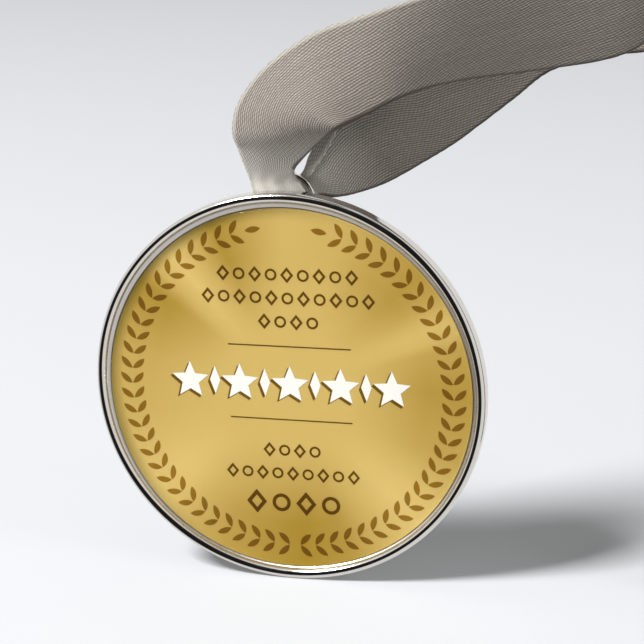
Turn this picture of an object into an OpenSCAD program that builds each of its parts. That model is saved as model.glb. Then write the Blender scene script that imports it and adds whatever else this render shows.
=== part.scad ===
// Finisher medal on a neck ribbon. Millimetres, +Z up, the face looks along -Y.
// The origin is the centre of the flat back face.

/* [Medal body] */
// Outside diameter of the medal
medal_d = 63.5; // [60:0.5:68]
// Thickness from the back face to the crest of the rim bead
medal_t = 3.0; // [2.8:0.1:3.2]
// Width of the rounded bead round the rim
bead_w = 1.5; // [1.4:0.05:1.8]
// Mean width of the sloping ledge inside the bead
ledge_w = 0.55; // [0.4:0.05:0.7]
// Thickness of the back plate under the insert
plate_t = 1.0; // [0.9:0.05:1.1]
// How far the insert's pocket sits below the medal's centre
pocket_drop = 0.3; // [0:0.05:0.35]

/* [Printed insert] */
// Thickness of the adhesive sheet
adhesive_t = 0.1; // [0.05:0.01:0.15]
// Thickness of the printed disc
insert_t = 0.8; // [0.7:0.05:0.9]
// Thickness of one layer of ink
ink_t = 0.02; // [0.01:0.005:0.02]
// Rise of the clear dome at its centre
dome_rise = 0.5; // [0.3:0.05:0.7]
// How far the print stands to the right of the medal's centre
print_x = 0.35; // [0:0.05:0.5]

/* [Laurel wreath] */
// Radius of the circle on which the pairs of leaves meet
wreath_r = 26.3; // [25.6:0.1:26.5]
// Length of a leaf
leaf_l = 2.6; // [2.2:0.1:2.8]
// Pairs of leaves on each branch
leaf_pairs = 30; // [24:1:32]

/* [Ring] */
// Radius of the ring to the middle of its wire
ring_r = 3.9; // [3.8:0.05:4]
// Diameter of the wire
wire_d = 0.9; // [0.8:0.05:0.95]
// Distance of the ring's middle plane behind the back face
ring_y = 2.3; // [2.2:0.05:2.4]
// Height of the ring's centre above the medal's centre
ring_z = 29.7; // [29.5:0.1:29.9]

/* [Ribbon] */
// Thickness of the woven ribbon
ribbon_t = 0.4; // [0.3:0.05:0.5]
// Width of the ribbon
ribbon_w = 19; // [18:0.5:20]
// Outside radius of the rolled-up end
roll_r = 10.4; // [9.5:0.1:10.5]

/* [Hidden] */
$fn = 96;
medal_r = medal_d / 2;
ledge_r = medal_r - bead_w;
pocket_r = ledge_r - ledge_w;
insert_r = pocket_r - 0.1;
insert_top = plate_t + adhesive_t + insert_t;
bead_z = medal_t - bead_w / 2;
ledge_drop = 0.15;
back_edge_r = 0.5;
// The clear dome stands on the insert, just above the ink
dome_z = insert_top + 2 * ink_t;
dome_edge_t = 0.12;
dome_r = insert_r - 0.05;
// The ring's cut, turned from the right, and how far it gapes
split_at = -140;
split_angle = 1.2;
lug_z = ring_z - ring_r;
lug_bore_r = wire_d / 2 + 0.1;
lug_r = 1.45;
lug_w = 1.3;
lug_foot_r = 2.6;
lug_foot_t = 0.5;
// Pitch of the open ornaments in a row 2.5 high
ornament_pitch = 2.5;
star_pitch = 8.25;
shadow_step = 0.13;
first_leaf_angle = 2.0;
leaf_step = (165.5 - first_leaf_angle) / leaf_pairs;
leaf_splay = 46;
// The rolled-up end of the ribbon rests on what the medal stands on
roll_x = 71;
roll_z = roll_r - medal_r;
roll_core_r = 3;
roll_y = 10.5;
drop_x = 80.6;
stitch_r = 0.16;
// The ribbon gathered into an arch under the ring's wire, just clear of it and of the two legs
fold_r = 3.0;
fold_t = 1.1;
fold_z = 29.95;
fold_front_y = 1.15;
fold_back_y = 3.9;
fold_rise = 20;

// The ribbon's route: one row for each place along it, with the outer edge, the inner edge and
// how far the middle bulges. Front leg, from the ring to the roll
front_leg = [
    [[-5.4, 0.6, 31.0], [0.4, 0.8, 32.8], 0.1],
    [[-6.1, 0.0, 34.5], [0.8, -0.8, 35.2], 0.4],
    [[-6.9, -1.0, 38.0], [4.2, -3.0, 38.2], 1.2],
    [[-7.4, -2.0, 41.0], [7.4, -5.0, 41.0], 2.0],
    [[-6.8, -1.0, 45.0], [9.0, -6.5, 42.4], 2.4],
    [[-3.8, 0.0, 49.4], [10.4, -7.0, 43.4], 2.2],
    [[0.8, -0.4, 53.3], [11.8, -5.6, 44.0], 1.6],
    [[6, -0.8, 56.4], [14, -3.7, 44.9], 1],
    [[12.2, -1.2, 58.6], [17.6, -1.8, 46.6], 0.7],
    [[19.6, -1.6, 60.9], [22.4, 0.6, 48.2], 0.5],
    [[27.9, -1.5, 63.1], [29.1, 2.5, 49.5], 0.5],
    [[40, 1.1, 66.0], [40, 5, 50.7], 0.5],
    [[52.2, 2.6, 68.6], [51.8, 7.4, 53], 0.4],
    [[60, 3, 70.8], [60.5, 9.4, 59.8], 0.2],
    [[68, 2.2, 69.8], [69, 17, 63], 0],
    [[75.4, 1.2, 64], [76.3, 19.5, 60.4], 0],
    [[79.3, 1, 52], [79.6, 20, 51], 0],
    [[80.6, 1, 38], [80.6, 20, 38], 0],
    [[80.6, 1, 10], [80.6, 20, 10], 0],
    [[80.6, 1, -15], [80.6, 20, -15], 0]
];
// Back leg, from the ring to the roll
back_leg = [
    [[1.5, 4.2, 32.8], [4.0, 4.4, 30.0], 0.1],
    [[3.1, 4.4, 36.2], [7.0, 6.0, 29.9], 0.3],
    [[5.0, 4.6, 40.0], [10.2, 8.0, 30.3], 0.5],
    [[7.3, 5.0, 44.0], [14.0, 9.8, 31.6], 0.6],
    [[11.5, 5.6, 48.0], [19.0, 11.0, 34.4], 0.6],
    [[16.3, 6.4, 51.4], [23.8, 12.2, 37.3], 0.6],
    [[21.3, 7.4, 54.6], [28.4, 13.4, 40.7], 0.6],
    [[26.3, 8.6, 57.6], [33.2, 14.4, 44.4], 0.6],
    [[32, 10, 60.2], [38.4, 15, 48.5], 0.5],
    [[40, 12.4, 62.6], [45, 15.2, 50.8], 0.4],
    [[50, 13, 62.8], [54, 17, 51.6], 0.3],
    [[57, 12.4, 60.6], [61, 18.5, 51.6], 0.2],
    [[64.6, 8, 58.4], [67, 19.5, 53.4], 0],
    [[72, 3.4, 55.8], [73.4, 20, 53.8], 0],
    [[77.4, 1.2, 49.6], [77.7, 20, 49], 0],
    [[79.4, 1, 38], [79.4, 20, 38], 0],
    [[79.6, 1, 10], [79.6, 20, 10], 0],
    [[79.6, 1, -15], [79.6, 20, -15], 0]
];

// ---- helpers ----

// Turns a shape that is built along +Z into one that faces the front, -Y
module face_front() {
    rotate([90, 0, 0])
        children();
}

// One layer of ink on the insert, from a flat outline; level 0 is the first layer
module ink(level = 0) {
    face_front()
        translate([print_x, 0, insert_top + level * ink_t])
            linear_extrude(ink_t)
                children();
}

// Builds on the pocket's axis instead of the medal's, z in front of the back face
module in_pocket(z) {
    face_front()
        translate([0, -pocket_drop, z])
            children();
}

// Catmull-Rom curve through the values a, b, c and d, between b and c
function curve(a, b, c, d, u) =
    b + 0.5 * u * ((c - a) + u * ((2 * a - 5 * b + 4 * c - d) + u * (3 * (b - c) + d - a)));

// One measure (0 outer edge, 1 inner edge, 2 bulge) of a leg at place s along it
function along(leg, k, s) =
    let (
        last = len(leg) - 1,
        i = min(floor(s), last - 1)
    )
    curve(leg[max(i - 1, 0)][k], leg[i][k], leg[i + 1][k], leg[min(i + 2, last)][k], s - i);

// Middle of the cloth at place s along the leg and v, from 0 to 1, across it
function skin_at(leg, s, v, front) =
    let (
        outer = along(leg, 0, s),
        inner = along(leg, 1, s)
    )
    outer + (inner - outer) * v + front * along(leg, 2, s) * 4 * v * (1 - v);

function unit(v) = v / norm(v);

// Direction square to the ribbon at one point
function square_to(leg, s, v, front) =
    let (
        ds = 0.02,
        last = len(leg) - 1,
        run = skin_at(leg, min(s + ds, last), v, front) - skin_at(leg, max(s - ds, 0), v, front),
        width = along(leg, 1, s) - along(leg, 0, s)
    )
    unit(cross(run, width));

// A strip of ribbon along a leg; front is the direction of its bulge
module ribbon(leg, front, steps = 3, across = 6) {
    places = (len(leg) - 1) * steps;
    sections = [
        for (i = [0 : places])
            let (s = i / steps)
            [
                for (side = [1, -1])
                    for (j = [0 : across])
                        let (v = side > 0 ? j / across : 1 - j / across)
                        skin_at(leg, s, v, front)
                            + square_to(leg, s, v, front) * side * ribbon_t / 2
            ]
    ];
    n = 2 * (across + 1);
    points = [for (section = sections) for (p = section) p];
    sides = [
        for (i = [0 : places - 1])
            for (j = [0 : n - 1])
                let (
                    a = i * n + j,
                    b = i * n + (j + 1) % n
                )
                for (triangle = [[a, b, b + n], [a, b + n, a + n]])
                    triangle
    ];
    first_end = [
        for (j = [0 : across - 1])
            for (triangle = [[j, n - 1 - j, j + 1], [j + 1, n - 1 - j, n - 2 - j]])
                triangle
    ];
    base = places * n;
    last_end = [
        for (triangle = first_end)
            [triangle[0] + base, triangle[2] + base, triangle[1] + base]
    ];
    polyhedron(points, concat(sides, first_end, last_end), convexity = 10);
}

// ---- medal ----

// The body's outline, closed at the height of the insert's top
module bezel_outline() {
    difference() {
        union() {
            square([medal_r - back_edge_r, back_edge_r]);
            translate([0, back_edge_r])
                square([medal_r, bead_z - back_edge_r]);
            intersection() {
                translate([medal_r - back_edge_r, back_edge_r])
                    circle(back_edge_r);
                square([medal_r, back_edge_r]);
            }
            translate([medal_r - bead_w / 2, bead_z])
                circle(bead_w / 2);
        }
        polygon([
            [-1, insert_top],
            [ledge_r - 2 * ledge_w, insert_top],
            [ledge_r, insert_top + ledge_drop],
            [ledge_r, medal_t + 1],
            [-1, medal_t + 1]
        ]);
    }
}

module medal_body() {
    color("silver")
        difference() {
            face_front()
                rotate_extrude($fn = 180)
                    bezel_outline();
            in_pocket(plate_t)
                cylinder(h = medal_t, r = pocket_r, $fn = 180);
        }
}

module insert_adhesive() {
    color("ivory")
        in_pocket(plate_t)
            cylinder(h = adhesive_t, r = insert_r - 0.5);
}

module printed_insert() {
    color([0.83, 0.70, 0.38])
        in_pocket(plate_t + adhesive_t)
            cylinder(h = insert_t, r = insert_r);
}

// The dome's outline falls with the square of the distance from its centre
module clear_dome() {
    rings = 20;
    crown = [
        for (i = [0 : rings])
            let (r = dome_r * i / rings)
            [r, dome_edge_t + dome_rise * (1 - pow(r / dome_r, 2))]
    ];
    color([0.95, 0.97, 1, 0.3])
        in_pocket(dome_z)
            rotate_extrude($fn = 180)
                polygon(concat([[dome_r, 0], [0, 0]], crown));
}

// ---- printed ornaments ----

// A leaf on a chord along +X: two arcs, the lower one flatter
module leaf(length = leaf_l, upper = 0.62, lower = 0.36) {
    upper_r = (length * length / 4 + upper * upper) / (2 * upper);
    lower_r = (length * length / 4 + lower * lower) / (2 * lower);
    intersection() {
        translate([length / 2, upper - upper_r])
            circle(upper_r);
        translate([length / 2, lower_r - lower])
            circle(lower_r);
    }
}

// A branch that climbs the right side from the bottom; its pairs open towards the top
module laurel_branch() {
    for (i = [0 : leaf_pairs - 1])
        rotate(first_leaf_angle + i * leaf_step - 90)
            translate([wreath_r, 0])
                rotate(90) {
                    rotate(leaf_splay)
                        translate([0.05, 0])
                            leaf();
                    rotate(-leaf_splay)
                        mirror([0, 1])
                            translate([0.05, 0])
                                leaf();
                }
    rotate(first_leaf_angle + leaf_pairs * leaf_step - 90)
        translate([wreath_r, 0])
            rotate(90 + 3)
                leaf(leaf_l, 0.5, 0.5);
}

module laurel_right() {
    color([0.55, 0.40, 0.12])
        ink()
            laurel_branch();
}

module laurel_left() {
    color([0.55, 0.40, 0.12])
        ink()
            mirror([1, 0])
                laurel_branch();
}

module lozenge(w, h) {
    polygon([[-w / 2, 0], [0, -h / 2], [w / 2, 0], [0, h / 2]]);
}

module open_lozenge(w, h, stroke) {
    difference() {
        lozenge(w, h);
        lozenge(w - 2.6 * stroke, h - 2.6 * stroke * h / w);
    }
}

module open_circle(r, stroke) {
    difference() {
        circle(r);
        circle(r - stroke);
    }
}

// A row of open lozenges and circles in turn
module ornament_row(count, height, z) {
    w = 0.82 * height;
    pitch = ornament_pitch * height / 2.5;
    for (i = [0 : count - 1])
        translate([(i - (count - 1) / 2) * pitch, z])
            if (i % 2 == 0)
                open_lozenge(w, height, 0.15 * height);
            else
                open_circle(0.37 * height, 0.14 * height);
}

module upper_ornaments() {
    color([0.42, 0.28, 0.04])
        ink() {
            ornament_row(9, 2.6, 18.6);
            ornament_row(11, 2.6, 14.85);
            ornament_row(4, 2.6, 11);
        }
}

module lower_ornaments() {
    color([0.42, 0.28, 0.04])
        ink() {
            ornament_row(4, 2.5, -10.25);
            ornament_row(9, 2.5, -14.15);
            ornament_row(4, 4.1, -19.15);
        }
}

module rule_lines() {
    color([0.42, 0.28, 0.04])
        ink()
            for (z = [7, -5.1])
                translate([0, z])
                    square([20, 0.22], center = true);
}

module star(r) {
    polygon([
        for (i = [0 : 9])
            let (reach = i % 2 == 0 ? r : 0.45 * r)
            reach * [sin(36 * i), cos(36 * i)]
    ]);
}

// Five stars with a tall lozenge between each two
module star_motifs() {
    for (i = [-2 : 2])
        translate([i * star_pitch, 0.7])
            star(3.15);
    for (i = [-1.5 : 1.5])
        translate([i * star_pitch, 0.95])
            lozenge(1.7, 4.6);
}

module star_shadows() {
    color([0.42, 0.30, 0.06])
        ink()
            for (i = [0 : 3])
                translate(-i * shadow_step * [1, 1])
                    star_motifs();
}

module star_row() {
    color("white")
        ink(level = 1)
            star_motifs();
}

// ---- hanging ----

module hanger_lug() {
    color("silver")
        difference() {
            union() {
                translate([0, lug_foot_t, lug_z])
                    face_front()
                        cylinder(h = lug_foot_t, r = lug_foot_r);
                translate([-lug_w / 2, 0, lug_z - lug_r])
                    cube([lug_w, ring_y, 2 * lug_r]);
                translate([-lug_w / 2, ring_y, lug_z])
                    rotate([0, 90, 0])
                        cylinder(h = lug_w, r = lug_r);
            }
            translate([-lug_w, ring_y, lug_z])
                rotate([0, 90, 0])
                    cylinder(h = 2 * lug_w, r = lug_bore_r);
        }
}

module jump_ring() {
    color("silver")
        translate([0, ring_y, ring_z])
            face_front()
                rotate(split_at)
                    rotate_extrude(angle = 360 - split_angle)
                        translate([ring_r, 0])
                            circle(wire_d / 2);
}

// ---- ribbon ----

module ribbon_front_leg() {
    color([0.66, 0.63, 0.60])
        ribbon(front_leg, [0.1, -1, 0.2]);
}

module ribbon_fold() {
    foot = fold_r * sin(fold_rise);
    color([0.66, 0.63, 0.60])
        translate([0, fold_back_y, fold_z])
            face_front()
                linear_extrude(fold_back_y - fold_front_y)
                    intersection() {
                        difference() {
                            circle(fold_r);
                            circle(fold_r - fold_t);
                        }
                        translate([-fold_r, foot])
                            square([2 * fold_r, fold_r]);
                    }
}

module ribbon_back_leg() {
    color([0.58, 0.55, 0.52])
        ribbon(back_leg, [0.1, -1, -0.2]);
}

module ribbon_roll() {
    color([0.62, 0.59, 0.56])
        translate([roll_x, roll_y + ribbon_w / 2, roll_z])
            face_front()
                difference() {
                    cylinder(h = ribbon_w, r = roll_r);
                    translate([0, 0, -1])
                        cylinder(h = ribbon_w + 2, r = roll_core_r);
                }
}

// Two rows of thread across the lap where the ribbon's ends are sewn together
module seam_stitches() {
    color([0.72, 0.70, 0.67])
        for (z = [18, 26])
            for (i = [-3 : 3])
                translate([drop_x + ribbon_t / 2, roll_y + 2.4 * i - 0.8, z])
                    rotate([-90, 0, 0])
                        cylinder(h = 1.6, r = stitch_r, $fn = 24);
}

medal_body();
insert_adhesive();
printed_insert();
laurel_left();
laurel_right();
upper_ornaments();
lower_ornaments();
rule_lines();
star_shadows();
star_row();
clear_dome();
hanger_lug();
jump_ring();
ribbon_front_leg();
ribbon_fold();
ribbon_back_leg();
ribbon_roll();
seam_stitches();
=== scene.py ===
"""Finisher medal on a neck ribbon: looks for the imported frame.

Metres, +Z up, the face looks along -Y.
"""

import math

import bpy
import numpy as np
from mathutils import Matrix, Vector


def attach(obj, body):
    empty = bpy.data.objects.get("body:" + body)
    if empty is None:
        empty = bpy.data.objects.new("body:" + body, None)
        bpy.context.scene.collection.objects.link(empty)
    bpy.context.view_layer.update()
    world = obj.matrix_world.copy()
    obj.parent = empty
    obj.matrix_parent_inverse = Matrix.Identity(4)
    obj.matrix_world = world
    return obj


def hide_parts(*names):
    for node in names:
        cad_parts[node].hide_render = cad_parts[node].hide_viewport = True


MM = 0.001
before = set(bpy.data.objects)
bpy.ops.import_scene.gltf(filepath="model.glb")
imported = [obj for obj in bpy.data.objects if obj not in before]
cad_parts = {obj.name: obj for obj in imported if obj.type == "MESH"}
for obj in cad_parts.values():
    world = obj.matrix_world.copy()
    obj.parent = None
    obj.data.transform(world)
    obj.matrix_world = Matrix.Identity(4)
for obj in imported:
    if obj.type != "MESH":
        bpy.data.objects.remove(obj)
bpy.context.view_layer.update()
scene = bpy.context.scene
scene.view_settings.view_transform = "Standard"

# ---------------------------------------------------------------- sizes, in millimetres

MEDAL_R = 31.75
MEDAL_T = 3.0
BEAD_W = 1.5
LEDGE_W = 0.55
POCKET_DROP = 0.3
PLATE_T = 1.0
INSERT_TOP = 1.9
RING_R = 3.9
WIRE_R = 0.45
RING_Y = 2.3
RING_Z = 29.7
RIBBON_W = 19.0
RIBBON_T = 0.34
LOOP_LENGTH = 812.0
FLOOR_Z = -MEDAL_R
FLOOR_SIZE = 6.0  # in metres


# ---------------------------------------------------------------- camera


def make_camera():
    """A long lens in front of the medal, a little to its right and above it."""
    azimuth, elevation, roll = (math.radians(d) for d in (15.25, 16.0, -1.58))
    lens, sensor, frame_w = 120.0, 36.0, 100.2
    target = Vector((5.83, -1.9, 11.31)) * MM
    back = Vector(
        (
            math.sin(azimuth) * math.cos(elevation),
            -math.cos(azimuth) * math.cos(elevation),
            math.sin(elevation),
        )
    )
    right = Vector((math.cos(azimuth), math.sin(azimuth), 0))
    up = back.cross(right)
    rolled_right = right * math.cos(roll) + up * math.sin(roll)
    rolled_up = up * math.cos(roll) - right * math.sin(roll)
    data = bpy.data.cameras.new("camera")
    data.lens = lens
    data.sensor_width = sensor
    camera = bpy.data.objects.new("camera", data)
    scene.collection.objects.link(camera)
    axes = Matrix((rolled_right, rolled_up, back)).transposed()
    place = target + back * frame_w * lens / sensor * MM
    camera.matrix_world = Matrix.Translation(place) @ axes.to_4x4()
    scene.camera = camera


make_camera()


# ---------------------------------------------------------------- studio


def linear(r, g, b):
    """An sRGB colour, 0 to 255, as the linear one that shaders take."""
    return tuple(
        c / 255 / 12.92 if c / 255 <= 0.04045 else ((c / 255 + 0.055) / 1.055) ** 2.4
        for c in (r, g, b)
    ) + (1.0,)


def area_light(name, place, aim, size, power):
    """A rectangular lamp turned to what it lights; place, aim and size in metres."""
    data = bpy.data.lights.new(name, "AREA")
    data.shape = "RECTANGLE"
    data.size, data.size_y = size
    data.energy = power
    light = bpy.data.objects.new(name, data)
    scene.collection.objects.link(light)
    light.location = place
    way = Vector(aim) - Vector(place)
    light.rotation_euler = way.to_track_quat("-Z", "Y").to_euler()
    return light


def make_world():
    """A soft dome, brighter overhead; the metal sees a white tent with one dark opening."""
    dark, white = 0.012, 0.85
    world = bpy.data.worlds.new("studio")
    scene.world = world
    world.use_nodes = True
    tree = world.node_tree

    def between(value, low, high, out_low, out_high):
        made = tree.nodes.new("ShaderNodeMapRange")
        tree.links.new(value, made.inputs["Value"])
        numbers = (("From Min", low), ("From Max", high), ("To Min", out_low), ("To Max", out_high))
        for socket, number in numbers:
            made.inputs[socket].default_value = number
        return made.outputs["Result"]

    where = tree.nodes.new("ShaderNodeTexCoord").outputs["Generated"]
    split = tree.nodes.new("ShaderNodeSeparateXYZ")
    tree.links.new(where, split.inputs[0])
    soft = between(split.outputs["Z"], -1, 1, 0.1, 0.6)
    # The opening is an oval in front of the face, leaning by 45 degrees and soft at its edge;
    # in depth it has no end, so the white behind the face is added back after it
    opening = tree.nodes.new("ShaderNodeMapping")
    opening.vector_type = "TEXTURE"
    opening.inputs["Location"].default_value = (-0.15, 0, 0.12)
    opening.inputs["Rotation"].default_value = (0, math.radians(-45), 0)
    opening.inputs["Scale"].default_value = (0.92, 1000, 0.6)
    tree.links.new(where, opening.inputs["Vector"])
    reach = tree.nodes.new("ShaderNodeVectorMath")
    reach.operation = "LENGTH"
    tree.links.new(opening.outputs[0], reach.inputs[0])
    sides = between(reach.outputs["Value"], 0.9, 1.08, dark, white)
    behind = between(split.outputs["Y"], -0.2, 0.1, dark, white)
    tent = tree.nodes.new("ShaderNodeMath")
    tent.operation = "MAXIMUM"
    tree.links.new(sides, tent.inputs[0])
    tree.links.new(behind, tent.inputs[1])
    rays = tree.nodes.new("ShaderNodeLightPath")
    choose = tree.nodes.new("ShaderNodeMix")
    tree.links.new(rays.outputs["Is Glossy Ray"], choose.inputs["Factor"])
    tree.links.new(soft, choose.inputs["A"])
    tree.links.new(tent.outputs[0], choose.inputs["B"])
    tree.links.new(choose.outputs["Result"], tree.nodes["Background"].inputs["Strength"])
    tree.nodes["Background"].inputs["Color"].default_value = (1, 0.99, 0.975, 1)


def make_floor():
    """A pale paper floor that the polished metal doesn't mirror."""
    bpy.ops.mesh.primitive_plane_add(size=FLOOR_SIZE, location=(0, 0, FLOOR_Z * MM))
    floor = bpy.context.object
    floor.name = "studio_floor"
    floor.visible_glossy = False
    mat = bpy.data.materials.new("floor_paper")
    mat.use_nodes = True
    shader = mat.node_tree.nodes["Principled BSDF"]
    shader.inputs["Base Color"].default_value = (0.42, 0.43, 0.445, 1)
    shader.inputs["Roughness"].default_value = 0.9
    shader.inputs["Specular IOR Level"].default_value = 0.2
    floor.data.materials.append(mat)


def make_studio():
    """The key lights the scene; the metal doesn't mirror the two weak lamps."""
    make_world()
    make_floor()
    area_light("key", (-0.92, -0.88, 1.54), (0, 0, 0.01), (0.5, 0.5), 80.0)
    fill = area_light("fill", (0.8, -0.3, 0.3), (0, 0, 0), (0.4, 0.5), 2.5)
    fill.visible_glossy = False
    front = area_light("front", (-0.55, -0.95, 0.05), (0, 0, 0.02), (0.3, 0.3), 3.5)
    front.visible_glossy = False


make_studio()


# ---------------------------------------------------------------- material helpers


class Nodes:
    """A short way to write a node material."""

    def __init__(self, name):
        self.mat = bpy.data.materials.new(name)
        self.mat.use_nodes = True
        self.tree = self.mat.node_tree
        self.shader = self.tree.nodes["Principled BSDF"]

    def put(self, socket, value):
        """Sets a shader socket, from a colour or number, or links a node's output to it."""
        self.fill(self.shader.inputs[socket], value)

    def fill(self, socket, value):
        if isinstance(value, bpy.types.NodeSocket):
            self.tree.links.new(value, socket)
        else:
            socket.default_value = value

    def node(self, kind, **settings):
        made = self.tree.nodes.new(kind)
        for key, value in settings.items():
            setattr(made, key, value)
        return made

    def math(self, operation, *values):
        made = self.node("ShaderNodeMath", operation=operation)
        for socket, value in zip(made.inputs, values):
            self.fill(socket, value)
        return made.outputs[0]

    def mix(self, factor, a, b):
        made = self.node("ShaderNodeMix", data_type="RGBA")
        self.fill(made.inputs["Factor"], factor)
        self.fill(made.inputs["A"], a)
        self.fill(made.inputs["B"], b)
        return made.outputs["Result"]

    def ramp(self, factor, stops):
        made = self.node("ShaderNodeValToRGB")
        band = made.color_ramp
        while len(band.elements) < len(stops):
            band.elements.new(0.5)
        for element, (position, colour) in zip(band.elements, stops):
            element.position = position
            element.color = colour
        self.fill(made.inputs["Fac"], factor)
        return made.outputs["Color"]

    def object_mm(self):
        """The place in the row frame, in millimetres, as X, Y and Z sockets."""
        where = self.node("ShaderNodeTexCoord")
        scale = self.node("ShaderNodeVectorMath", operation="SCALE")
        self.tree.links.new(where.outputs["Object"], scale.inputs[0])
        scale.inputs["Scale"].default_value = 1 / MM
        split = self.node("ShaderNodeSeparateXYZ")
        self.tree.links.new(scale.outputs[0], split.inputs[0])
        return scale.outputs[0], split.outputs

    def noise(self, vector, scale, detail=3.0, roughness=0.55):
        made = self.node("ShaderNodeTexNoise")
        self.fill(made.inputs["Vector"], vector)
        made.inputs["Scale"].default_value = scale
        made.inputs["Detail"].default_value = detail
        made.inputs["Roughness"].default_value = roughness
        return made.outputs["Fac"]

    def between(self, value, low, high, out_low, out_high):
        made = self.node("ShaderNodeMapRange")
        for key, number in (
            ("Value", value),
            ("From Min", low),
            ("From Max", high),
            ("To Min", out_low),
            ("To Max", out_high),
        ):
            self.fill(made.inputs[key], number)
        return made.outputs["Result"]

    def bump(self, height, distance_mm, strength=1.0):
        made = self.node("ShaderNodeBump")
        made.inputs["Strength"].default_value = strength
        made.inputs["Distance"].default_value = distance_mm * MM
        self.fill(made.inputs["Height"], height)
        self.put("Normal", made.outputs["Normal"])


def grey(v):
    return (v, v, v, 1)


# ---------------------------------------------------------------- metal


def plated_metal():
    """Polished silver plating with faint handling marks."""
    m = Nodes("plated_metal")
    place, _ = m.object_mm()
    smear = m.noise(place, 0.35, 4)
    fine = m.noise(place, 9.0, 2)
    m.put("Base Color", m.mix(smear, linear(232, 229, 224), linear(214, 211, 207)))
    m.put("Metallic", 1.0)
    m.put("Roughness", m.between(smear, 0.35, 0.7, 0.07, 0.15))
    m.bump(fine, 0.004, 0.35)
    return m.mat


def satin_metal():
    """The casting's back and ledge: plated over a finely brushed surface."""
    m = Nodes("satin_metal")
    place, _ = m.object_mm()
    stretch = m.node("ShaderNodeMapping")
    stretch.inputs["Scale"].default_value = (0.12, 1, 6)
    m.fill(stretch.inputs["Vector"], place)
    grain = m.noise(stretch.outputs[0], 2.2, 5, 0.7)
    patch = m.noise(place, 0.12, 3)
    m.put("Base Color", m.mix(patch, linear(214, 211, 207), linear(196, 193, 190)))
    m.put("Metallic", 1.0)
    m.put("Roughness", m.between(grain, 0.3, 0.7, 0.24, 0.42))
    m.bump(grain, 0.012, 0.5)
    return m.mat


# ---------------------------------------------------------------- printed face

# Turning clockwise from the top, in degrees: how dark the print's satin fans are, 0 light to 1 dark
FANS = [
    (0, 0.33),
    (20, 0.4),
    (32, 0.63),
    (48, 0.85),
    (56, 0.65),
    (64, 0.22),
    (69, 0.3),
    (73, 0.62),
    (88, 0.85),
    (112, 0.6),
    (128, 0.1),
    (136, 0.0),
    (144, 0.22),
    (152, 0.5),
    (161, 0.85),
    (176, 1.0),
    (204, 0.7),
    (216, 0.43),
    (226, 0.1),
    (233, 0.04),
    (256, 0.4),
    (280, 0.52),
    (298, 0.85),
    (306, 0.95),
    (312, 0.4),
    (319, 0.05),
    (328, 0.5),
    (336, 0.95),
    (350, 0.55),
    (360, 0.33),
]
# The shade where the fans run together, and the radii between which they grow out of it
MIDDLE_SHADE = 0.26
FANS_START, FANS_FULL = 10.0, 22.5


def fan_shade(m):
    """The place, and its shade: even in the middle, with the fans growing outwards."""
    place, split = m.object_mm()
    angle = m.math("ARCTAN2", split["X"], split["Z"])
    turn = m.math("FRACT", m.math("DIVIDE", m.math("ADD", angle, 2 * math.pi), 2 * math.pi))
    fans = m.ramp(turn, [(a / 360, grey(v)) for a, v in FANS])
    squares = m.math("ADD", m.math("POWER", split["X"], 2.0), m.math("POWER", split["Z"], 2.0))
    radius = m.math("SQRT", squares)
    reach = m.between(radius, FANS_START, FANS_FULL, 0.0, 1.0)
    contrast = m.math("MULTIPLY", reach, m.math("SUBTRACT", fans, MIDDLE_SHADE))
    return place, m.math("ADD", MIDDLE_SHADE, contrast)


def printed(name, light, dark, grain=0.05, rough=0.42):
    """A printed colour that follows the fans, with a fine grain; gives back its nodes."""
    m = Nodes(name)
    place, shade = fan_shade(m)
    colour = m.mix(shade, light, dark)
    speck = m.noise(place, 7.0, 2)
    colour = m.mix(m.between(speck, 0.3, 0.7, 0.0, grain), colour, linear(70, 48, 14))
    m.put("Base Color", colour)
    m.put("Roughness", m.between(speck, 0.3, 0.7, rough - 0.05, rough + 0.06))
    m.put("Specular IOR Level", 0.12)
    m.bump(speck, 0.004, 0.3)
    return m


def gold_print():
    """The printed gold, with painted shade of the rim and the dome's edge: a darker olive band round
    the upper left.
    """
    m = printed("gold_print", linear(219, 191, 118), linear(169, 137, 48))
    _, split = m.object_mm()
    height = m.math("ADD", split["Z"], POCKET_DROP)
    squares = m.math("ADD", m.math("POWER", split["X"], 2.0), m.math("POWER", height, 2.0))
    # Painted shade: the rim's shadow and the dome's edge, a darker olive band near the rim, strongest
    # on the upper left
    rim_shade_band = m.between(m.math("SQRT", squares), 27.6, 29.5, 0.0, 1.0)
    leftward = m.math("SUBTRACT", m.math("MULTIPLY", height, 0.45), split["X"])
    side = m.between(leftward, 2.0, 24.0, 0.0, 0.62)
    colour = m.shader.inputs["Base Color"].links[0].from_socket
    m.put("Base Color", m.mix(m.math("MULTIPLY", rim_shade_band, side), colour, linear(96, 84, 30)))
    return m.mat


def dome_resin():
    """Clear resin: seen through, with only its gloss on top."""
    m = Nodes("dome_resin")
    clear = m.node("ShaderNodeBsdfTransparent")
    clear.inputs["Color"].default_value = (0.985, 0.985, 0.975, 1)
    gloss = m.node("ShaderNodeBsdfGlossy")
    gloss.inputs["Roughness"].default_value = 0.04
    fresnel = m.node("ShaderNodeFresnel")
    fresnel.inputs["IOR"].default_value = 1.42
    mixed = m.node("ShaderNodeMixShader")
    m.fill(mixed.inputs[0], m.math("MULTIPLY", fresnel.outputs[0], 0.5))
    m.tree.links.new(clear.outputs[0], mixed.inputs[1])
    m.tree.links.new(gloss.outputs[0], mixed.inputs[2])
    out = m.tree.nodes["Material Output"]
    m.tree.links.new(mixed.outputs[0], out.inputs["Surface"])
    return m.mat


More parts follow.
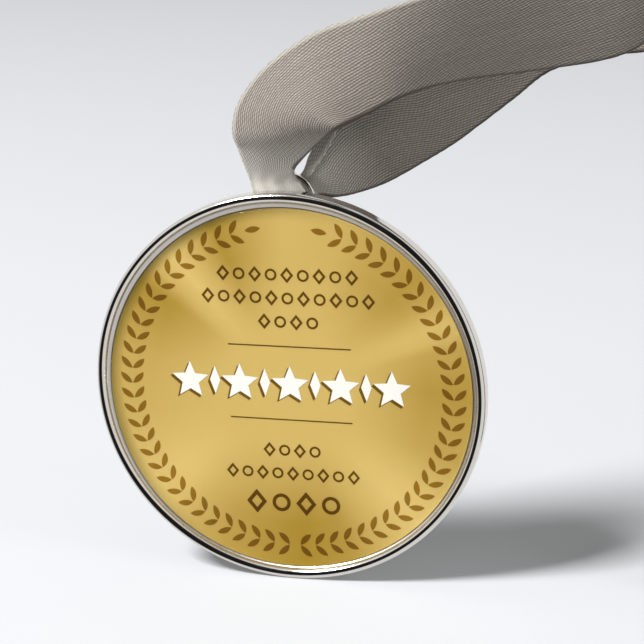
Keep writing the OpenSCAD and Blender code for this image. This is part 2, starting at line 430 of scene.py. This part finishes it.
def adhesive_film():
    """Cloudy double-sided film with small trapped bubbles."""
    m = Nodes("adhesive_film")
    place, _ = m.object_mm()
    cloud = m.noise(place, 0.4, 3)
    bubble = m.noise(place, 3.0, 2)
    m.put("Base Color", m.mix(cloud, linear(228, 224, 208), linear(208, 202, 182)))
    m.put("Roughness", m.between(bubble, 0.3, 0.7, 0.3, 0.55))
    m.bump(bubble, 0.02, 0.5)
    return m.mat


def sewing_thread():
    """Twisted polyester thread: plies wind round its length."""
    ply_pitch = 0.32
    m = Nodes("sewing_thread")
    place, split = m.object_mm()
    twist = m.math("ADD", m.math("ADD", split["X"], split["Y"]), m.math("MULTIPLY", split["Z"], 0.8))
    ply = m.between(m.math("COSINE", m.math("MULTIPLY", twist, 2 * math.pi / ply_pitch)), -1, 1, 0, 1)
    fuzz = m.noise(place, 5.0, 3)
    colour = m.mix(ply, linear(112, 106, 99), linear(176, 170, 161))
    m.put("Base Color", m.mix(m.between(fuzz, 0.3, 0.7, 0, 0.3), colour, linear(140, 134, 126)))
    m.put("Roughness", m.between(fuzz, 0.3, 0.7, 0.6, 0.8))
    m.bump(m.math("ADD", ply, m.math("MULTIPLY", fuzz, 0.4)), 0.05, 0.7)
    return m.mat


def paint(node, mat):
    """Puts one material on every slot of a CAD node."""
    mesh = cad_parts[node].data
    if not mesh.materials:
        mesh.materials.append(mat)
    for i in range(len(mesh.materials)):
        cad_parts[node].material_slots[i].material = mat


metal = plated_metal()
paint("printed_insert", gold_print())
leaf_mat = printed("leaf_ink", linear(150, 112, 32), linear(112, 76, 10)).mat
paint("laurel_left", leaf_mat)
paint("laurel_right", leaf_mat)
dark_mat = printed("dark_ink", linear(108, 74, 12), linear(84, 54, 5)).mat
for name in ("upper_ornaments", "lower_ornaments", "rule_lines"):
    paint(name, dark_mat)
paint("star_shadows", printed("shadow_ink", linear(120, 88, 22), linear(96, 66, 10)).mat)
white_mat = printed("white_ink", linear(244, 243, 240), linear(236, 235, 232), 0.01, 0.4).mat
paint("star_row", white_mat)
paint("hanger_lug", metal)
paint("insert_adhesive", adhesive_film())


# ---------------------------------------------------------------- mesh helpers


def new_piece(name, points, faces, mat):
    """A smooth-shaded mesh of one material, in the scene."""
    mesh = bpy.data.meshes.new(name)
    mesh.from_pydata([tuple(p) for p in points], [], faces)
    mesh.materials.append(mat)
    mesh.shade_smooth()
    mesh.update()
    piece = bpy.data.objects.new(name, mesh)
    scene.collection.objects.link(piece)
    return piece


def arc(cx, cz, r, start, end, count):
    """Points of an arc in a profile, angles in degrees."""
    return [
        (cx + r * math.cos(math.radians(a)), cz + r * math.sin(math.radians(a)))
        for a in np.linspace(start, end, count)
    ]


def lathe(name, profile, mat, turns=256):
    """Rows of (radius, depth towards the front, drop of the centre), turned about the medal's axis.

    A row of radius 0 is one point.
    """
    points, faces, starts = [], [], []
    for r, depth, drop in profile:
        starts.append((len(points), turns if r else 1))
        if not r:
            points.append((0, -depth * MM, -drop * MM))
        else:
            for i in range(turns):
                a = 2 * math.pi * i / turns
                points.append((r * math.sin(a) * MM, -depth * MM, (r * math.cos(a) - drop) * MM))
    for (a, na), (b, nb) in zip(starts, starts[1:]):
        for i in range(turns):
            j = (i + 1) % turns
            if na == 1:
                faces.append((a, b + i, b + j))
            elif nb == 1:
                faces.append((a + i, b, a + j))
            else:
                faces.append((a + i, b + i, b + j, a + j))
    return new_piece(name, points, faces, mat)


# ---------------------------------------------------------------- medal body


def medal_shell():
    """The casting, with rounded edges where the CAD body has sharp ones."""
    bead_r = BEAD_W / 2
    bead_z = MEDAL_T - bead_r
    ledge_r = MEDAL_R - BEAD_W
    pocket_r = ledge_r - LEDGE_W
    back_r = 0.5
    outline = [(0, 0), (20, 0), (MEDAL_R - back_r - 0.6, 0), (MEDAL_R - back_r - 0.15, 0)]
    outline += arc(MEDAL_R - back_r, back_r, back_r, -90, 0, 8)
    outline += [(MEDAL_R, back_r + 0.2), (MEDAL_R, bead_z - 0.3)]
    outline += arc(MEDAL_R - bead_r, bead_z, bead_r, 0, 172, 26)
    outline.append((ledge_r - 0.03, INSERT_TOP + 0.16))
    pocket = [
        (pocket_r + 0.08, INSERT_TOP + 0.05),
        (pocket_r + 0.02, INSERT_TOP + 0.02),
        (pocket_r, INSERT_TOP - 0.05),
        (pocket_r, PLATE_T + 0.1),
        (pocket_r - 0.05, PLATE_T),
        (pocket_r - 1, PLATE_T),
        (0, PLATE_T),
    ]
    rows = [(r, depth, 0) for r, depth in outline] + [(r, depth, POCKET_DROP) for r, depth in pocket]
    piece = lathe("medal_shell", rows, metal)
    piece.data.materials.append(satin_metal())
    for face in piece.data.polygons:
        place = face.center / MM
        out = math.hypot(place.x, place.z)
        flat_back = place.y > -0.02 and out < MEDAL_R - back_r
        ledge = out < ledge_r - 0.02 and -place.y < INSERT_TOP + 0.2
        if flat_back or ledge:
            face.material_index = 1
    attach(piece, "medal")
    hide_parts("medal_body")


medal_shell()


# ---------------------------------------------------------------- dome


def clear_dome():
    """The poured resin: a low crown with a rounded rim, its underside just clear of the ink."""
    r, under, crown, swell = 29.55, INSERT_TOP + 0.06, INSERT_TOP + 0.16, 0.5
    outline = [(0, under), (r - 1, under), (r - 0.05, under), (r, under + 0.03)]
    for k in range(25):
        out = 1 - (k / 24) ** 1.5
        outline.append((r * out, crown + swell * (1 - out**2)))
    rows = [(radius, depth, POCKET_DROP) for radius, depth in outline]
    piece = lathe("resin_dome", rows, dome_resin())
    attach(piece, "medal")
    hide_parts("clear_dome")


clear_dome()


# ---------------------------------------------------------------- ring


def ring_wire():
    """The split ring: round wire whose two cut ends nearly meet."""
    around, across = 160, 24
    start, split = -140, 1.2  # degrees: where the wire starts, and the gap between its ends
    points, faces = [], []
    for i in range(around + 1):
        a = math.radians(start + (360 - split) * i / around)
        for j in range(across):
            b = 2 * math.pi * j / across
            r = RING_R + WIRE_R * math.cos(b)
            points.append(
                (
                    r * math.cos(a) * MM,
                    (RING_Y - WIRE_R * math.sin(b)) * MM,
                    (RING_Z + r * math.sin(a)) * MM,
                )
            )
    for i in range(around):
        for j in range(across):
            k = (j + 1) % across
            a, b = i * across, (i + 1) * across
            faces.append((a + j, a + k, b + k, b + j))
    faces.append(tuple(range(across)))
    faces.append(tuple(reversed(range(around * across, (around + 1) * across))))
    piece = new_piece("ring_wire", points, faces, metal)
    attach(piece, "ring")
    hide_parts("jump_ring")


ring_wire()


# ---------------------------------------------------------------- ribbon

# The route, close to the CAD ribbon's and finer near the ring: outer edge, inner edge and how far
# the middle bulges, each leg starting at the ring
FRONT_LEG = [
    ((-5.1, 0.5, 30.9), (3.1, 1.0, 30.9), 0.1),
    ((-5.5, 0.5, 31.8), (2.7, 1.0, 31.9), 0.1),
    ((-5.7, 0.5, 32.8), (1.7, 0.9, 33.0), 0.2),
    ((-5.9, 0.3, 33.8), (1.0, 0.5, 33.9), 0.3),
    ((-6.2, 0.0, 35.0), (1.4, -0.5, 35.3), 0.5),
    ((-6.9, -0.9, 38.0), (4.2, -2.6, 38.2), 1.2),
    ((-7.4, -2.0, 41.0), (7.4, -5.0, 41.0), 2.0),
    ((-6.8, -1.0, 45.0), (9.0, -6.5, 42.4), 2.4),
    ((-3.8, 0.0, 49.4), (10.4, -7.0, 43.4), 2.2),
    ((0.8, -0.4, 53.3), (11.8, -5.6, 44.0), 1.6),
    ((6, -0.8, 56.4), (14, -3.7, 44.9), 1),
    ((12.2, -1.2, 58.6), (17.6, -1.8, 46.6), 0.7),
    ((19.8, -2.4, 61.1), (22.2, 1.4, 48.0), 0.5),
    ((28.3, -2.9, 63.5), (28.7, 3.9, 49.1), 0.5),
    ((40.3, -0.1, 66.3), (39.7, 6.2, 50.4), 0.5),
    ((52.2, 2.6, 68.6), (51.8, 7.4, 53), 0.4),
    ((60, 3, 70.8), (60.5, 9.4, 59.8), 0.2),
    ((68, 2.2, 69.8), (69, 17, 63), 0),
    ((75.4, 1.2, 64), (76.3, 19.5, 60.4), 0),
    ((79.3, 1, 52), (79.6, 20, 51), 0),
    ((80.6, 1, 38), (80.6, 20, 38), 0),
    ((80.6, 1, 10), (80.6, 20, 10), 0),
    ((80.6, 1, -15), (80.6, 20, -15), 0),
]
FOLD = [
    ((-2.9, 1.2, 30.3), (2.9, 1.3, 30.3), 0.9),
    ((-2.8, 1.7, 30.2), (2.9, 1.7, 30.2), 1.3),
    ((-3.0, 2.3, 30.2), (3.0, 2.3, 30.2), 1.7),
    ((-2.6, 3.4, 30.5), (3.2, 3.5, 30.3), 1.5),
]
BACK_LEG = [
    ((1.5, 4.2, 32.8), (4.0, 4.4, 30.0), 0.1),
    ((3.1, 4.4, 36.2), (7.0, 6.0, 29.9), 0.3),
    ((5.0, 4.6, 40.0), (10.2, 8.0, 30.3), 0.5),
    ((7.3, 5.0, 44.0), (14.0, 9.8, 31.6), 0.6),
    ((11.5, 5.6, 48.0), (19.0, 11.0, 34.4), 0.6),
    ((16.3, 6.4, 51.4), (23.8, 12.2, 37.3), 0.6),
    ((21.3, 7.4, 54.6), (28.4, 13.4, 40.7), 0.4),
    ((26.3, 8.6, 57.6), (33.2, 14.4, 44.4), 0),
    ((32, 10, 60.2), (38.4, 15, 48.5), -0.8),
    ((40, 12.4, 62.6), (45, 15.2, 50.8), -2.3),
    ((50, 13, 62.8), (54, 17, 51.6), -2.4),
    ((57, 12.4, 60.6), (61, 18.5, 51.6), -1.4),
    ((64.6, 8, 58.4), (67, 19.5, 53.4), 0),
    ((72, 3.4, 55.8), (73.4, 20, 53.8), 0),
    ((77.4, 1.2, 49.6), (77.7, 20, 49), 0),
    ((79.4, 1, 38), (79.4, 20, 38), 0),
    ((79.6, 1, 10), (79.6, 20, 10), 0),
    ((80.05, 1, -15), (80.05, 20, -15), 0),
]
# How fully the front leg's inner edge is turned under, one for each row
FRONT_TURNED = [0, 0, 0.1, 0.5] + [1] * 19
# Width of the back leg's margin that is folded over to the front, one for each row
BACK_LAP = [0.6, 1.5, 1.9, 1.6, 0.8] + [0] * 13
RING_PASS = (0, 2.3, 32.2)  # where the middle of the ribbon goes through the ring
ROW_GAP = 0.35
# The legs run straight down from LEG_END_Z to a roll that stands on the floor
LEG_END_Z = -15.0
ROLL_X, ROLL_R = 71.0, 9.8
ROLL_Z = ROLL_R - MEDAL_R
ROLL_CORE_R = 2.6
ROLL_STEP = 0.8
TURN_PITCH = 1.1
# The edge turned under: its bend, its least width as a share of the open part, and its slope
EDGE_ROLL_R = 0.35
FLAP_SHARE = 0.7
FLAP_SLOPE = 0.06
# For each mm of its width, the folded margin runs this far across and this far off the sheet
LAP_ACROSS, LAP_OFF = 0.8, 0.6
# Where the edge isn't turned, the painted shade of its fold is moved this far off the cloth
FOLD_OFF = 6
# Each second row ends in a small loop of thread
PICOT = 0.16
# Pleats and creases at the ring: height, how far along the ribbon they fade, how many across
PLEAT, PLEAT_FADE, PLEATS = 0.16, 7.0, 3.5
CREASE, CREASE_FADE, CREASES, CREASE_DRIFT = 0.11, 22.0, 1.7, 0.012
# Height of the slow waver all along
WAVER = 0.05
# Further from the ring than this, the waves die out towards both edges
FREE_EDGES = 12


def unit(v):
    return v / np.linalg.norm(v)


def spline(rows, steps):
    """Catmull-Rom through the rows of a table, steps to each interval."""
    rows = np.asarray(rows, float)
    out = []
    last = len(rows) - 1
    for i in range(last):
        a, b, c, d = rows[max(i - 1, 0)], rows[i], rows[i + 1], rows[min(i + 2, last)]
        for u in np.linspace(0, 1, steps, endpoint=False):
            out.append(
                b + 0.5 * u * ((c - a) + u * ((2 * a - 5 * b + 4 * c - d) + u * (3 * (b - c) + d - a)))
            )
    out.append(rows[-1])
    return np.array(out)


def even_rows(rows, gap):
    """The rows again, evenly spaced along the middle of the strip."""
    middle = (rows[:, 0:3] + rows[:, 3:6]) / 2
    run = np.concatenate([[0], np.cumsum(np.linalg.norm(np.diff(middle, axis=0), axis=1))])
    places = np.linspace(0, run[-1], int(run[-1] / gap) + 1)
    return np.column_stack([np.interp(places, run, rows[:, k]) for k in range(rows.shape[1])])


def ribbon_stations():
    """Rows from the roll up the front leg, through the ring and down the back leg.

    A row holds the outer edge, the inner edge, the bulge vector, how fully and to which side the
    inner edge is turned, and the width of the lap.
    """
    front_bulge, fold_bulge, back_bulge = (0.1, -1, 0.2), (0, 0, 1), (0.1, -1, -0.2)
    table = []
    flat = [0] * len(FOLD)
    for leg, way, sides, laps in (
        (FRONT_LEG[::-1], front_bulge, FRONT_TURNED[::-1], [0] * len(FRONT_LEG)),
        (FOLD, fold_bulge, flat, flat),
        (BACK_LEG, back_bulge, [-1] * len(BACK_LEG), BACK_LAP),
    ):
        for (outer, inner, bulge), side, lap in zip(leg, sides, laps):
            table.append([*outer, *inner, *(np.array(way) * bulge), side, lap])
    return even_rows(spline(table, 24), ROW_GAP)


def roll_rows(start_x, length):
    """One ply of the roll, from where the leg reaches it to the core, of the given length."""
    rows = []
    radius, angle, used = start_x - ROLL_X, 0.0, 0.0
    for z in np.arange(LEG_END_Z - ROLL_STEP, ROLL_Z, -ROLL_STEP):
        rows.append((start_x, z))
        used += ROLL_STEP
    while used < length and radius > ROLL_CORE_R:
        rows.append((ROLL_X + radius * math.cos(angle), ROLL_Z - radius * math.sin(angle)))
        turn = ROLL_STEP / radius
        angle += turn
        used += turn * radius
        if angle > math.pi / 2:
            radius -= TURN_PITCH * turn / (2 * math.pi)
    return [[x, 1, z, x, 1 + RIBBON_W, z, 0, 0, 0, 0, 0] for x, z in rows]


def cross_section(row, normal, across, picot):
    """Points across the cloth by true width: a lapped margin, the open part, an edge rolled under.

    With them goes how far each one is past the fold of that rolled edge.
    """
    outer, inner, bulge, side, lap = row[0:3], row[3:6], row[6:9], row[9], max(row[10], 0)
    chord = inner - outer
    c = np.linalg.norm(chord)
    h = np.linalg.norm(bulge)
    open_w = c * (1 + 8 / 3 * (h / c) ** 2)
    turned = math.pi * EDGE_ROLL_R
    lapped = lap + turned * min(1, lap)
    cloth = min(RIBBON_W, lapped + open_w + (turned + FLAP_SHARE * open_w) * abs(side))
    first_way, last_way = unit(chord + 4 * bulge), unit(chord - 4 * bulge)
    under = normal * side
    points, past_fold = [], []
    for k in range(across + 1):
        u = cloth * k / across - lapped
        past_fold.append(u - open_w - FOLD_OFF * (1 - abs(side)))
        if u < -turned:
            rest = -u - turned
            p = outer + first_way * LAP_ACROSS * rest
            p = p - under * (2 * EDGE_ROLL_R + LAP_OFF * rest)
        elif u < 0:
            a = -u / EDGE_ROLL_R
            p = outer - first_way * EDGE_ROLL_R * math.sin(a) - under * EDGE_ROLL_R * (1 - math.cos(a))
        elif u <= open_w:
            v = u / open_w
            p = outer + chord * v + bulge * 4 * v * (1 - v)
        else:
            past = u - open_w
            a = min(past / EDGE_ROLL_R, math.pi)
            flap = max(past - turned, 0)
            v = 1 - flap / open_w
            p = outer + chord * v + bulge * 4 * v * (1 - v) + last_way * EDGE_ROLL_R * math.sin(a)
            p = p + under * (EDGE_ROLL_R * (1 - math.cos(a)) + FLAP_SLOPE * flap)
        points.append(p)
    if picot:
        points[0] = points[0] + unit(points[0] - points[1]) * PICOT
    return np.array(points), past_fold


def ribbon_mesh():
    """Points, faces, two values for each point that the cloth needs, and the ribbon's length."""
    across = 60
    legs = ribbon_stations()
    middle = (legs[:, 0:3] + legs[:, 3:6]) / 2
    leg_length = np.linalg.norm(np.diff(middle, axis=0), axis=1).sum()
    spare = (LOOP_LENGTH - leg_length) / 2
    front_roll = roll_rows(FRONT_LEG[-1][0][0], spare)[::-1]
    back_roll = roll_rows(BACK_LEG[-1][0][0], spare)
    rows = np.vstack([front_roll, legs, back_roll])
    middle = (rows[:, 0:3] + rows[:, 3:6]) / 2
    run = np.concatenate([[0], np.cumsum(np.linalg.norm(np.diff(middle, axis=0), axis=1))])
    ring_at = run[np.argmin(np.linalg.norm(middle - np.array(RING_PASS), axis=1))]
    points, uvs, fold_shades = [], [], []
    for i, row in enumerate(rows):
        along = unit(middle[min(i + 1, len(rows) - 1)] - middle[max(i - 1, 0)])
        width = row[3:6] - row[0:3]
        normal = unit(np.cross(width, along))
        section, past_fold = cross_section(row, normal, across, i % 2)
        from_ring = run[i] - ring_at
        pleat = PLEAT * math.exp(-((from_ring / PLEAT_FADE) ** 2))
        crease = CREASE * math.exp(-((from_ring / CREASE_FADE) ** 2))
        for k, p in enumerate(section):
            v = k / across
            wave = pleat * math.sin(2 * math.pi * PLEATS * v + 0.6)
            turn = CREASES * v + CREASE_DRIFT * from_ring
            wave += crease * math.sin(2 * math.pi * turn + 1.1)
            wave += WAVER * math.sin(run[i] * 0.31 + 5 * v) * math.sin(run[i] * 0.13 + 2.2)
            edge = min(1.0, 8 * v, 8 * (1 - v)) if abs(from_ring) > FREE_EDGES else 1.0
            points.append((p + normal * wave * edge) * MM)
            uvs.append((from_ring, RIBBON_W * v))
            fold_shades.append((past_fold[k], 0))
    n = across + 1
    faces = []
    for i in range(len(rows) - 1):
        for k in range(across):
            a = i * n + k
            faces.append((a, a + 1, a + n + 1, a + n))
    return points, faces, uvs, fold_shades, run[-1]


def ribbon_cloth():
    """Plain weave in warm grey polyester, with painted light that makes it paler near the ring, and
    corded edges.
    """
    row_pitch, row_slant, bead_pitch, half = 0.42, 0.27, 0.56, RIBBON_W / 2
    m = Nodes("ribbon_cloth")
    where = m.node("ShaderNodeUVMap", uv_map="cloth_mm")
    split = m.node("ShaderNodeSeparateXYZ")
    m.fill(split.inputs[0], where.outputs[0])
    along, width = split.outputs["X"], split.outputs["Y"]
    waver = m.math("MULTIPLY", m.noise(where.outputs[0], 0.5, 2), 0.5)
    slant = m.math("ADD", m.math("SUBTRACT", width, m.math("MULTIPLY", along, row_slant)), waver)
    turn = m.math("MULTIPLY", slant, 2 * math.pi / row_pitch)
    rows = m.between(m.math("COSINE", turn), -1, 1, 0, 1)
    # The beads of a row are half a step on from those of the row before
    step = m.math("ADD", m.math("DIVIDE", along, bead_pitch), m.math("DIVIDE", slant, 2 * row_pitch))
    beads = m.between(m.math("COSINE", m.math("MULTIPLY", step, 2 * math.pi)), -1, 1, 0.55, 1)
    weave = m.math("MULTIPLY", rows, beads)
    streak_map = m.node("ShaderNodeMapping")
    streak_map.inputs["Scale"].default_value = (0.06, 1.2, 1)
    m.fill(streak_map.inputs["Vector"], where.outputs[0])
    streak = m.noise(streak_map.outputs[0], 1.0, 4)
    slub = m.noise(where.outputs[0], 1.3, 2)
    tone = m.math("ADD", m.math("MULTIPLY", streak, 0.5), m.math("MULTIPLY", slub, 0.5))
    colour = m.mix(m.between(tone, 0.35, 0.65, 0, 1), linear(121, 115, 108), linear(139, 133, 125))
    # Painted light: near the ring the cloth is made paler and its weave's dark grooves are filled in,
    # as if lit
    ring_painted_light = m.between(m.math("ABSOLUTE", along), 3.0, 16.0, 0.85, 0.0)
    colour = m.mix(ring_painted_light, colour, linear(205, 201, 193))
    thread = m.math("MAXIMUM", m.between(weave, 0.0, 0.8, 0.0, 1.0), m.math("MULTIPLY", ring_painted_light, 0.7))
    colour = m.mix(thread, linear(76, 70, 64), colour)
    edge = m.math("ABSOLUTE", m.math("SUBTRACT", width, half))
    cord = m.between(edge, half - 0.7, half - 0.45, 0.0, 1.0)
    colour = m.mix(m.math("MULTIPLY", cord, 0.4), colour, linear(164, 160, 151))
    fold = m.node("ShaderNodeUVMap", uv_map="fold_shade_mm")
    fold_split = m.node("ShaderNodeSeparateXYZ")
    m.fill(fold_split.inputs[0], fold.outputs[0])
    # Painted shade: a dark line along the fold of the turned-under edge
    past_fold = m.between(fold_split.outputs["X"], -0.32, 0.08, 0.0, 0.85)
    colour = m.mix(past_fold, colour, linear(58, 50, 45))
    m.put("Base Color", colour)
    m.put("Roughness", m.between(tone, 0.35, 0.65, 0.66, 0.78))
    m.put("Sheen Weight", 0.1)
    m.put("Sheen Roughness", 0.4)
    m.put("Specular IOR Level", 0.15)
    height = m.math("ADD", weave, m.math("MULTIPLY", tone, 1.2))
    m.bump(m.math("ADD", height, cord), 0.05, 0.6)
    return m.mat


def make_ribbon():
    """The whole loop as one strip, given its thickness by a modifier."""
    points, faces, uvs, fold_shades, length = ribbon_mesh()
    piece = new_piece("neck_ribbon", points, faces, ribbon_cloth())
    for name, values in (("cloth_mm", uvs), ("fold_shade_mm", fold_shades)):
        layer = piece.data.uv_layers.new(name=name)
        for loop in piece.data.loops:
            layer.data[loop.index].uv = values[loop.vertex_index]
    thick = piece.modifiers.new("thickness", "SOLIDIFY")
    thick.thickness = RIBBON_T * MM
    thick.offset = 0
    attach(piece, "ribbon")
    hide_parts("ribbon_front_leg", "ribbon_fold", "ribbon_back_leg", "ribbon_roll")


make_ribbon()
paint("seam_stitches", sewing_thread())
